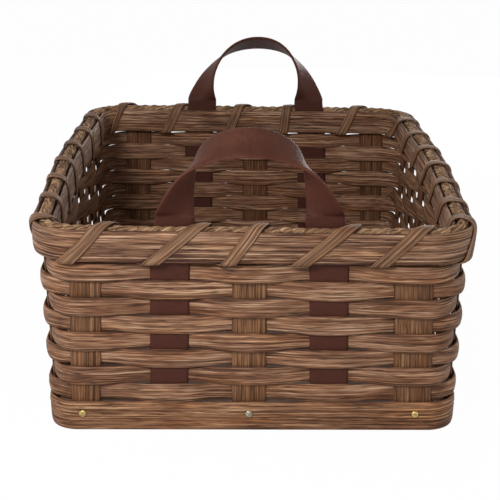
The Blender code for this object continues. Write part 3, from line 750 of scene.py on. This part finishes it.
def make_weaver(
    name, number, middle, height, first_side, material, swell=WEAVE_SWELL, cut=0.0, lean=0.0, reach=0.0
):
    """A flat reed right round the basket, whose ends meet behind a stake."""
    rng = seeded(100 + number)
    seam = next(run for node, run, *_ in STAKES if node == SEAM_STAKES[first_side])
    along = np.linspace(seam + SEAM_GAP, seam + WALL_RUN, int(WALL_RUN / STATION_STEP))
    turn = first_side * wave_at(along)
    wave = np.tanh(WEAVE_FLATNESS * turn) / math.tanh(WEAVE_FLATNESS)
    free = np.abs(wave)
    apart = eased(np.clip((np.abs(turn) - WEAVE_TOUCH_SHARE) / (1 - WEAVE_TOUCH_SHARE), 0, 1))
    frontness = np.cos(2 * math.pi * along / WALL_RUN)
    front = (frontness - FRONT_START_SHARE) / (FRONT_FULL_SHARE - FRONT_START_SHARE)
    inside = between(INSIDE_SWELL_SHARE, FRONT_INSIDE_SHARE, eased(np.clip(front, 0, 1)))
    within = inside * (1 - (1 - np.abs(turn)) ** 2)
    bulge = swell * np.where(turn > 0, apart, within)
    lower = reach * np.clip(-wave, 0, 1)
    wide = height - cut + lower + bulge + WEAVER_WIDTH_DRIFT * wander(rng, along, WEAVER_WIDTH_WAVE)
    across, out, hollow = strip_section(
        rng,
        along,
        wide,
        WEAVE_THICKNESS,
        faces=WEAVER_FACES,
        grooves=WEAVER_GROOVES,
        depth=WEAVER_GROOVE_DEPTH,
        crown=WEAVE_DOME,
    )
    lift = WEAVER_LIFT * wander(rng, along, WEAVER_LIFT_WAVE) * free
    tilt = lean + WEAVER_TILT * wander(rng, along, WEAVER_TILT_WAVE) * free
    offset = WEAVE_WAVE * wave + WEAVER_OFFSET * wander(rng, along, WEAVER_OFFSET_WAVE)
    level = middle - (cut + lower[:, None]) / 2 + lift[:, None] + across
    outward = offset[:, None] + out + across * tilt[:, None]
    rings = wall_point(along[:, None], level, outward)
    grain = grain_of(along[:, None], across, out, number)
    piece = solid_from_rings(f"{name}_look", rings, material, grain, hollow, rng.uniform(-1, 1))
    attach(piece, "basket")
    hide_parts(name)
    return piece


def make_stake(name, number, run, width, thickness, material):
    """A flat upright reed from the foot to just under the rope."""
    rng = seeded(200 + number)
    along = np.linspace(STAKE_LIFT, STAKE_TOP, int((STAKE_TOP - STAKE_LIFT) / STATION_STEP))
    wide = width + STAKE_WIDTH_DRIFT * wander(rng, along, STAKE_WIDTH_WAVE)
    across, out, hollow = strip_section(
        rng, along, wide, thickness, STAKE_FACES, grooves=STAKE_GROOVES, depth=STAKE_GROOVE_DEPTH
    )
    rings = wall_point(run + across, along[:, None], out)
    grain = grain_of(along[:, None], across, out, 20 + number)
    piece = solid_from_rings(f"{name}_look", rings, material, grain, hollow, rng.uniform(-1, 1))
    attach(piece, "basket")
    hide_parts(name)
    return piece


def make_band(name, number, levels, faces, seam, material, grooves, depth):
    """A wide reed round the wall between two levels and two faces, its ends butted at the seam."""
    bottom, top = levels
    inner, outer = faces
    rng = seeded(300 + number)
    along = np.linspace(seam + SEAM_GAP, seam + WALL_RUN, int(WALL_RUN / STATION_STEP))
    across, out, hollow = strip_section(
        rng, along, top - bottom, outer - inner, BAND_FACES, grooves=grooves, depth=depth
    )
    rings = wall_point(along[:, None], (top + bottom) / 2 + across, (outer + inner) / 2 + out)
    grain = grain_of(along[:, None], across, out, 50 + number)
    piece = solid_from_rings(f"{name}_look", rings, material, grain, hollow)
    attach(piece, "basket")
    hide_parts(name)
    return piece


def rope_fit(run):
    """The rope's distance outward and its half width, which the straps squeeze where they pass."""
    side, past = side_of(run)
    free_inner = INNER_BAND_FACE + GAP
    outer = OUTER_BAND_FACE - GAP
    squeezed_inner = -STRAP_RIM_SHIFT + STRAP_THICKNESS / 2 + GAP
    from_strap = np.abs(np.abs(past - SHIFTS[side]) - STRAP_PLACE_AT_RIM) - STRAP_WIDTH / 2
    share = 1 - np.clip((from_strap - STRAP_THICKNESS) / STRAP_WIDTH, 0, 1)
    share = np.where((side == FRONT) | (side == REAR), share, 0)
    inner = between(free_inner, squeezed_inner, share)
    return (inner + outer) / 2, (outer - inner) / 2


def make_rope(material):
    """Two strands of twisted grass that fill the rim between the bands."""
    rope = None
    for strand in range(ROPE_STRANDS):
        rng = seeded(400 + strand)
        along = np.linspace(0, WALL_RUN, int(WALL_RUN / ROPE_STEP) + 1)
        turn = 2 * math.pi * (strand / ROPE_STRANDS - ROPE_TWISTS * along / WALL_RUN)
        outward, half_width = rope_fit(along)
        swing_x = half_width - STRAND_RADIUS
        swing_z = ROPE_HEIGHT / 2 - STRAND_RADIUS
        centre_out = outward + swing_x * np.cos(turn)
        centre_up = ROPE_CENTRE + ROPE_LIFT + swing_z * np.sin(turn)
        angles = np.linspace(0, 2 * math.pi, STRAND_FACES, endpoint=False)[None, :]
        spin = angles + turn[:, None] * STRAND_SPIN_SHARE
        lobes = np.cos(STRAND_LOBES * spin + LOBE_DRIFT * wander(rng, along, LOBE_DRIFT_WAVE)[:, None])
        uneven = lobes + wander(rng, along, STRAND_SWELL_WAVE)[:, None]
        radius = STRAND_RADIUS * (1 - STRAND_UNEVEN_SHARE + STRAND_UNEVEN_SHARE * uneven)
        ring_out = centre_out[:, None] + radius * np.cos(angles)
        ring_up = centre_up[:, None] + radius * np.sin(angles)
        rings = wall_point(along[:, None], ring_up, ring_out)
        # How deep each spot lies in a gap between the lobes, which the grass's finish darkens as
        # painted shade
        hollow = np.clip(0.5 - 0.5 * lobes, 0, 1) ** 2
        round_x, round_y = STRAND_RADIUS * np.cos(spin), STRAND_RADIUS * np.sin(spin)
        grain = grain_of(along[:, None], round_x, round_y, 60 + strand)
        part = solid_from_rings(f"seagrass_strand_{strand + 1}", rings, material, grain, hollow)
        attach(part, "basket")
        if rope is None:
            rope = part
            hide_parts("seagrass_filler")
    return rope


def lash_outline():
    """The lashing's line round the rim's section, from under the middle outward: how far along it
    each place is, the places outward and up, and the directions away from the rim."""
    outer = OUTER_FACE + LASH_HUG
    inner = INNER_FACE - LASH_HUG
    spring = RIM_HEIGHT - LASH_ARCH_DROP
    crest = ROPE_TOP + LASH_CLEARANCE + LASH_ARCH
    bend = np.linspace(0, math.pi / 2, LASH_BEND_POINTS)
    low = LASH_PASS_TOP + LASH_CORNER_RADIUS * (1 - np.cos(bend))
    in_from_edge = LASH_CORNER_RADIUS * (1 - np.sin(bend))
    turn = np.linspace(0, math.pi, LASH_ARCH_POINTS)
    spread = np.sign(np.cos(turn)) * np.abs(np.cos(turn)) ** (2 / LASH_ARCH_POWER)
    rise = np.sin(turn) ** (2 / LASH_ARCH_POWER)
    arch = between(inner, outer, (1 + spread) / 2)
    outward = np.concatenate([[0], outer - in_from_edge, arch, (inner + in_from_edge)[::-1], [0]])
    over = between(spring, crest, rise)
    up = np.concatenate([[LASH_PASS_TOP], low, over, low[::-1], [LASH_PASS_TOP]])
    steps = np.hypot(np.diff(outward), np.diff(up))
    girth = np.append(0, np.cumsum(steps))
    fine = np.linspace(0, girth[-1], LASH_LINE_POINTS)
    line = np.stack([np.interp(fine, girth, outward), np.interp(fine, girth, up)], axis=1)
    tangent = np.gradient(line, axis=0)
    tangent /= np.linalg.norm(tangent, axis=1)[:, None]
    normal = np.stack([tangent[:, 1], -tangent[:, 0]], axis=1)
    return fine, line, normal


def lash_runs(number):
    """Where one turn of the lashing passes the wall, tops the rim and reaches the next pass."""
    half = LASH_WIDTH * math.sqrt(2) / 2

    def pass_before(index):
        name, run, width, _, _ = STAKES[index % len(STAKES)]
        back = LASH_PASS_BACKS.get(name, 0)
        if "stake_right" in name:
            _, before, width_before, _, _ = STAKES[index - 1]
            return before + width_before / 2 + LASH_EDGE + half - back
        return run - width / 2 - LASH_EDGE - half - back

    name, run, width, _, kind = STAKES[number]
    side, past = int(side_of(run)[0]), float(side_of(run)[1])
    start = pass_before(number)
    end = pass_before(number + 1)
    if end < start:
        end += WALL_RUN
    top = run + LASH_TOP_LEANS[side]
    if "stake_right" in name:
        top = start + LASH_TOP_LEANS[side]
    if kind == "strap":
        lean = (RIM_HEIGHT - WEAVE_TOP) / (HINGE_HEIGHT - WEAVE_TOP)
        place = between(STRAP_PLACE, STRAP_PLACE_AT_RIM, lean)
        rim_run = SIDE_RUNS[side] + SHIFTS[side] + math.copysign(place, past - SHIFTS[side])
        top = rim_run + width / 2 + LASH_EDGE + half
    return start, top - LASH_TOP_BACKS.get(name, 0), end


def make_lashing(material):
    """One flat strip wound right round the basket, a turn for each stake."""
    fine, line, normal = lash_outline()
    girth = fine[-1]
    crest = girth / 2
    inner_bottom = girth + INNER_FACE
    knots = []
    for number in range(len(STAKES)):
        start, top, end = lash_runs(number)
        base = number * girth
        wound = WALL_RUN if start < lash_runs(0)[0] - EPSILON else 0
        knots.append((base, start + wound))
        knots.append((base + OUTER_FACE, start + wound + LASH_FACE_RUN))
        knots.append((base + crest, top + wound))
        knots.append((base + inner_bottom, end + wound - LASH_FACE_RUN))
    final = lash_runs(len(STAKES) - 1)[2]
    knots.append((len(STAKES) * girth, final if final > knots[-1][1] else final + WALL_RUN))
    knots = np.array(knots)
    rng = seeded(500)
    total = knots[-1, 0]
    travel = np.linspace(0, total, int(total / LASH_STEP))
    runs = np.interp(travel, knots[:, 0], knots[:, 1])
    kernel = np.hanning(2 * LASH_SMOOTH_REACH + 1)
    kernel /= kernel.sum()
    padded = np.pad(runs, LASH_SMOOTH_REACH, mode="reflect", reflect_type="odd")
    runs = np.convolve(padded, kernel, mode="valid")
    slope = np.gradient(runs, travel)
    lean = 1 / np.sqrt(1 + slope * slope)
    across, out, hollow = strip_section(
        rng,
        travel,
        LASH_WIDTH,
        LASH_THICKNESS,
        faces=LASH_FACES,
        grooves=LASH_GROOVES,
        depth=LASH_GROOVE_DEPTH,
        crown=LASH_CROWN,
    )
    out = out + LASH_THICKNESS / 2
    at_run = runs[:, None] + across * lean[:, None]
    at_girth = travel[:, None] - across * (slope * lean)[:, None]
    wrapped = np.mod(at_girth, girth)
    outward = np.interp(wrapped, fine, line[:, 0]) + out * np.interp(wrapped, fine, normal[:, 0])
    level = np.interp(wrapped, fine, line[:, 1]) + out * np.interp(wrapped, fine, normal[:, 1])
    rings = wall_point(at_run, level, outward)
    grain = grain_of(travel[:, None], across, out, 70)
    piece = solid_from_rings("rim_lashing_look", rings, material, grain, hollow)
    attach(piece, "basket")
    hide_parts("rim_lashing")
    return piece


def strap_place(hand, height):
    """The strap's place along the end wall and its distance outward, at heights up to its bend."""
    shift = np.clip((height - WEAVE_TOP) / (STAKE_TOP - WEAVE_TOP), 0, 1)
    lean = np.clip((height - WEAVE_TOP) / (HINGE_HEIGHT - WEAVE_TOP), 0, 1)
    return hand * between(STRAP_PLACE, STRAP_PLACE_AT_RIM, lean), -STRAP_RIM_SHIFT * eased(shift)


def control_shares(count, share):
    """How much each control of a smooth cubic line has in its place, at shares of the line."""
    spans = count - 3
    place = np.minimum(share, 1 - EPSILON) * spans
    knots = np.concatenate([np.zeros(3), np.arange(spans + 1), np.full(3, spans)])
    shares = [((low <= place) & (place < high)).astype(float) for low, high in zip(knots, knots[1:])]
    for degree in (1, 2, 3):
        gaps = knots[degree:] - knots[:-degree]
        rising = [(place - knot) / gap if gap > 0 else 0 for knot, gap in zip(knots, gaps)]
        falling = [1 - share for share in rising]
        shares = [
            shares[n] * rising[n] + shares[n + 1] * falling[n + 1] for n in range(len(shares) - 1)
        ]
    return np.stack(shares, axis=-1)


def loop_line(end, share):
    """The middle of the handle's strap and the direction across it, from the hinge's middle."""
    half = LOOP_SHARES[end]
    far = [(-spread, lean, rise, 1 - turn) for spread, lean, rise, turn in half[-2::-1]]
    controls = np.array([*half, *far])
    spread, lean, rise, turn = (control_shares(len(controls), share) @ controls).T
    shift = LOOP_SHIFTS[end] * eased(1 - np.abs(2 * share - 1))
    height = between(LOOP_STRAIGHT, LOOP_RISE, rise)
    middle = np.stack([shift - STRAP_PLACE_AT_RIM * spread, -LOOP_LEAN * lean, height], axis=-1)
    level, upright = np.cos(turn * math.pi), np.sin(turn * math.pi)
    tilt = LOOP_TILTS[end]
    across = np.stack([level, upright * math.cos(tilt), upright * math.sin(tilt)], axis=-1)
    return middle, across


def make_strap(end, shift, turned, material):
    """The whole strap of one end: up one leg, round the handle's loop and down the other leg."""
    rng = seeded(600 + turned)
    heights = np.linspace(STAKE_LIFT, HINGE_HEIGHT, STRAP_LEG_POINTS)
    hinge = plumb_point(shift, HINGE_HEIGHT, strap_place(1, HINGE_HEIGHT)[1])
    legs = []
    for hand in (-1, 1):
        place, outward = strap_place(hand, heights)
        legs.append(plumb_point(shift + place, heights, outward))
    loop, loop_across = loop_line(end, np.linspace(0, 1, STRAP_LOOP_POINTS))
    loop = loop + hinge
    places = np.concatenate([legs[0], loop, legs[1][::-1]])
    flat = np.tile([1.0, 0.0, 0.0], (len(heights), 1))
    acrosses = np.concatenate([flat, loop_across, -flat])
    steps = np.linalg.norm(np.diff(places, axis=0), axis=1)
    travel = np.append(0, np.cumsum(steps))
    along = np.linspace(0, travel[-1], int(travel[-1] / STRAP_STEP))
    centre = np.stack([np.interp(along, travel, column) for column in places.T], axis=1)
    across_way = np.stack([np.interp(along, travel, column) for column in acrosses.T], axis=1)
    onward = np.gradient(centre, axis=0)
    onward /= np.linalg.norm(onward, axis=1)[:, None]
    across_way -= onward * np.einsum("ij,ij->i", onward, across_way)[:, None]
    across_way /= np.linalg.norm(across_way, axis=1)[:, None]
    normal = np.cross(onward, across_way)
    width = STRAP_WIDTH + STRAP_WIDTH_DRIFT * wander(rng, along, STRAP_WIDTH_WAVE)
    across, out, _ = strip_section(
        rng, along, width, STRAP_THICKNESS, STRAP_FACES, power=STRAP_EDGE_POWER
    )
    ripple = STRAP_RIPPLE * wander(rng, along, STRAP_RIPPLE_WAVE)
    rings = (
        centre[:, None, :]
        + across[:, :, None] * across_way[:, None, :]
        + (out + ripple[:, None])[:, :, None] * normal[:, None, :]
    )
    place = np.abs(across) / (width[:, None] / 2)
    edge = np.clip((place - STRAP_EDGE_START_SHARE) / STRAP_EDGE_SPAN_SHARE, 0, 1)
    if turned:
        rings[..., :2] *= -1
    # Painted top light: from the bend up, the strap turns from the darker leg leather to the lighter
    # top
    wear_and_lit_top = eased(np.clip((centre[:, 2] - HINGE_HEIGHT) / LOOP_RISE * STRAP_LIT_TOP_SHARE, 0, 1))
    grain = grain_of(along[:, None], across, out, 80 + turned)
    piece = solid_from_rings(f"{end}_strap_look", rings, material, grain, edge, (1 - wear_and_lit_top)[:, None])
    nodes = [f"{end}_strap_leg_left", f"{end}_strap_leg_right", f"{end}_handle_loop"]
    low = (float(hinge[0]), float(hinge[1]), HINGE_HEIGHT - BLEND_HALF)
    high = (float(hinge[0]), float(hinge[1]), HINGE_HEIGHT + BLEND_HALF)
    if turned:
        low, high = [(-place[0], -place[1], place[2]) for place in (low, high)]
    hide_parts(*nodes)
    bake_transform(piece)
    return piece


def make_board(material):
    """The base board, with its two edges eased."""
    along = np.linspace(0, WALL_RUN, BOARD_POINTS, endpoint=False)
    eased_edge = BOARD_EDGE * BOARD_EDGE_SHARE
    profile = (
        (BOARD_FOOT, -INNER_CLEAR - BOARD_FOOT_EDGE),
        (BOARD_FOOT_TOP, -INNER_CLEAR),
        (BOARD_THICKNESS - BOARD_EDGE, -INNER_CLEAR),
        (BOARD_THICKNESS - eased_edge, -INNER_CLEAR - eased_edge),
        (BOARD_THICKNESS, -INNER_CLEAR - BOARD_EDGE),
    )
    rings = np.stack([wall_point(along, level, outward) for level, outward in profile])
    piece = solid_from_rings("base_board_look", rings, material, np.zeros(rings.shape))
    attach(piece, "basket")
    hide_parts("base_board")
    return piece


def nails_in_order():
    """The nails' names and runs: one at each reed stake of the ends, every other one on the sides."""
    nails = []
    for side, name in enumerate(SIDE_NAMES):
        runs = [run for node, run, _, _, kind in STAKES if kind == "reed" and f"_{name}_" in node]
        if side in (RIGHT, LEFT):
            runs = runs[::2]
        nails += [(f"nail_{name}_{number + 1}", run) for number, run in enumerate(runs)]
    return nails


def make_nail(name, number, run, material):
    """A domed nail head on the bottom band, with the start of its shank."""
    rng = seeded(700 + number)
    low = wall_point(run, NAIL_HEIGHT, FOOT_FACE)
    out = wall_point(run, NAIL_HEIGHT, FOOT_FACE + 1) - low
    out /= np.linalg.norm(out)
    side = np.cross([0, 0, 1], out)
    side /= np.linalg.norm(side)
    up = np.cross(out, side)
    dome = np.linspace(0, math.pi / 2 * DOME_END_SHARE, DOME_RINGS)
    shank = [(-NAIL_SHOWN_SHANK, NAIL_SHANK_RADIUS), (0, NAIL_SHANK_RADIUS)]
    head = zip(DOME_LIFT + NAIL_HEAD_RISE * np.sin(dome), DOME_RADIUS * np.cos(dome))
    angles = np.linspace(0, 2 * math.pi, NAIL_FACES, endpoint=False)
    rings = []
    for level, radius in [*shank, (0, DOME_RADIUS * DOME_RIM_SHARE), *head]:
        dent = DOME_DENT_SHARE * np.cos(2 * angles + rng.uniform(0, 6)) * (level > 0)
        round_side = np.cos(angles) * radius * (1 + dent)
        round_up = np.sin(angles) * radius * (1 + dent)
        rings.append(low + np.outer(round_side, side) + np.outer(round_up, up) + out * level)
    rings = np.stack(rings)
    piece = solid_from_rings(f"{name}_look", rings, material, np.zeros(rings.shape))
    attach(piece, "basket")
    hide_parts(name)
    return piece


# Studio


def set_camera():
    """The photograph's camera, from its place, its three turns and its lens."""
    camera_data = bpy.data.cameras.new("photo_camera")
    camera_data.lens = CAMERA_LENS
    camera_data.sensor_width = CAMERA_SENSOR
    camera_data.clip_start = CAMERA_CLIP
    camera = bpy.data.objects.new("photo_camera", camera_data)
    bpy.context.scene.collection.objects.link(camera)
    forward = Vector(
        (
            math.sin(CAMERA_YAW) * math.cos(CAMERA_PITCH),
            math.cos(CAMERA_YAW) * math.cos(CAMERA_PITCH),
            -math.sin(CAMERA_PITCH),
        )
    )
    level_right = Vector((math.cos(CAMERA_YAW), -math.sin(CAMERA_YAW), 0))
    level_up = level_right.cross(forward)
    right = level_right * math.cos(CAMERA_ROLL) + level_up * math.sin(CAMERA_ROLL)
    up = level_up * math.cos(CAMERA_ROLL) - level_right * math.sin(CAMERA_ROLL)
    turn = Matrix((right, up, -forward)).transposed().to_4x4()
    camera.matrix_world = Matrix.Translation(CAMERA_PLACE) @ turn
    bpy.context.scene.camera = camera


def add_lamp(name, place, target, size, power):
    """A round soft lamp that faces its target."""
    lamp_data = bpy.data.lights.new(name, "AREA")
    lamp_data.shape = "DISK"
    lamp_data.size = size
    lamp_data.energy = power
    lamp = bpy.data.objects.new(name, lamp_data)
    lamp.location = place
    lamp.rotation_euler = (Vector(target) - Vector(place)).to_track_quat("-Z", "Y").to_euler()
    bpy.context.scene.collection.objects.link(lamp)


def set_studio():
    """A world that is white where it is seen or reflected and dimmer as light, and the lamps."""
    world = bpy.data.worlds.new("studio")
    world.use_nodes = True
    nodes, links = world.node_tree.nodes, world.node_tree.links
    background = nodes["Background"]
    background.inputs["Color"].default_value = (1, 1, 1, 1)
    path = nodes.new("ShaderNodeLightPath")
    seen = nodes.new("ShaderNodeMath")
    seen.operation = "MAXIMUM"
    links.new(path.outputs["Is Camera Ray"], seen.inputs[0])
    links.new(path.outputs["Is Glossy Ray"], seen.inputs[1])
    also = nodes.new("ShaderNodeMath")
    also.operation = "MAXIMUM"
    links.new(seen.outputs[0], also.inputs[0])
    links.new(path.outputs["Is Transmission Ray"], also.inputs[1])
    strength = nodes.new("ShaderNodeMapRange")
    strength.inputs["To Min"].default_value = WORLD_STRENGTH
    strength.inputs["To Max"].default_value = 1.0
    links.new(also.outputs[0], strength.inputs["Value"])
    links.new(strength.outputs[0], background.inputs["Strength"])
    bpy.context.scene.world = world
    bpy.context.scene.view_settings.view_transform = "Standard"
    for name, settings in LAMPS.items():
        add_lamp(name, *settings)


def make_floor():
    """A pale floor that keeps the basket's shadow and shows nearly white."""
    mesh = bpy.data.meshes.new("floor")
    corners = ((-1, -1), (1, -1), (1, 1), (-1, 1))
    points = [(x * FLOOR_HALF, y * FLOOR_HALF, -FLOOR_DROP) for x, y in corners]
    mesh.from_pydata(points, [], [(0, 1, 2, 3)])
    tree = Tree("floor_look")
    tree.finish(base_color=(0.8, 0.8, 0.8, 1), roughness=0.9)
    glow = tree.add("ShaderNodeEmission", {"Color": (1, 1, 1, 1), "Strength": 1.0})
    path = tree.add("ShaderNodeLightPath")
    seen = tree.math("MAXIMUM", path.outputs["Is Camera Ray"], path.outputs["Is Glossy Ray"])
    seen = tree.math("MAXIMUM", seen, path.outputs["Is Transmission Ray"])
    share = tree.math("MULTIPLY", seen, FLOOR_GLOW_SHARE)
    blend = tree.add("ShaderNodeMixShader", {0: share, 1: tree.shader.outputs[0], 2: glow.outputs[0]})
    output = tree.nodes["Material Output"]
    tree.links.new(blend.outputs[0], output.inputs["Surface"])
    mesh.materials.append(tree.material)
    floor = bpy.data.objects.new("floor", mesh)
    bpy.context.scene.collection.objects.link(floor)


def main():
    set_camera()
    set_studio()
    make_floor()

    weaver = reed_material("weaver_look", WEAVER_SHADES)
    stake = reed_material("stake_look", STAKE_SHADES, contrast=0.7, cracks=0.5)
    band = reed_material("band_look", BAND_SHADES, contrast=1.1)
    foot = reed_material("foot_band_look", FOOT_SHADES, contrast=1.25)
    lash = reed_material("lash_look", LASH_SHADES, contrast=0.85, cracks=0.3)
    leather = leather_material()
    seagrass = seagrass_material()
    board = board_material()
    gold = brass_material("brass_gold_look", GOLD_BRASS)
    wear_and_lit_top = brass_material("brass_worn_look", WORN_BRASS)

    make_board(board)
    for number, (name, run, width, thickness, kind) in enumerate(STAKES):
        if kind == "reed":
            make_stake(name, number, run, width, thickness, stake)
    for row in range(ROWS):
        name = f"weaver_row_{row + 1}"
        middle = WEAVE_TOP - row * ROW_PITCH - ROW_HEIGHT / 2
        height = ROW_HEIGHT + WEAVE_TOUCH
        side = 1 if row % 2 == 0 else -1
        cut, lean = (TOP_ROW_CUT, TOP_ROW_TILT) if row == 0 else (0, 0)
        reach = LAST_ROW_REACH if row == ROWS - 1 else 0
        make_weaver(name, row, middle, height, side, weaver, cut=cut, lean=lean, reach=reach)
    hidden = BAND_BOTTOM + GAP + RIM_WEAVER_HEIGHT / 2
    make_weaver("rim_weaver", ROWS, hidden, RIM_WEAVER_HEIGHT, -1, weaver, swell=0)

    seam = lash_runs(BAND_SEAM_TURN)[0]
    outer_levels = (BAND_BOTTOM, RIM_HEIGHT)
    outer_faces = (OUTER_BAND_FACE, OUTER_FACE)
    rim = (seam, band, BAND_GROOVES, BAND_GROOVE_DEPTH)
    make_band("outer_rim_band", 0, outer_levels, outer_faces, *rim)
    inner_levels = (BAND_BOTTOM, RIM_HEIGHT - INNER_BAND_DROP)
    inner_faces = (INNER_FACE, INNER_BAND_FACE)
    make_band("inner_rim_band", 1, inner_levels, inner_faces, *rim)
    foot_levels = (STAKE_LIFT, BOTTOM_BAND_HEIGHT)
    foot_faces = (INNER_CLEAR, FOOT_FACE)
    make_band("bottom_band", 2, foot_levels, foot_faces, seam, foot, FOOT_GROOVES, FOOT_GROOVE_DEPTH)
    make_rope(seagrass)
    make_lashing(lash)
    make_strap("front", FRONT_STAKES_SHIFT, 0, leather)
    make_strap("rear", REAR_STAKES_SHIFT, 1, leather)
    for number, (name, run) in enumerate(nails_in_order()):
        make_nail(name, number, run, wear_and_lit_top if name in WORN_NAILS else gold)


main()
